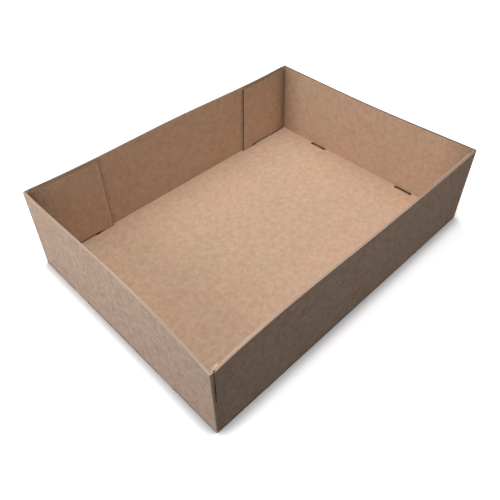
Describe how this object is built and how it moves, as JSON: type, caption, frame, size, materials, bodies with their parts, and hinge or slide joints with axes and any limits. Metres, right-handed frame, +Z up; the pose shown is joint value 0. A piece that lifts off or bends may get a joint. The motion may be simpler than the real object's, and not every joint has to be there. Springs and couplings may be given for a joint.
{
  "type": "cardboard tray box",
  "caption": "Shallow open-topped tray box, folded from kraft corrugated board, with glued corner tabs and slots beside the base folds.",
  "frame": {"origin": "under the middle of the base, on the surface that the tray stands on", "axes": "+X along the long walls, +Y along the short walls, +Z up through the open top"},
  "size_m": [0.4608, 0.3364, 0.114],
  "materials": {
    "kraft_board": "uncoated brown kraft liner on corrugated board"
  },
  "bodies": {
    "root": {"tray": "kraft_board"}
  },
  "joints": []
}
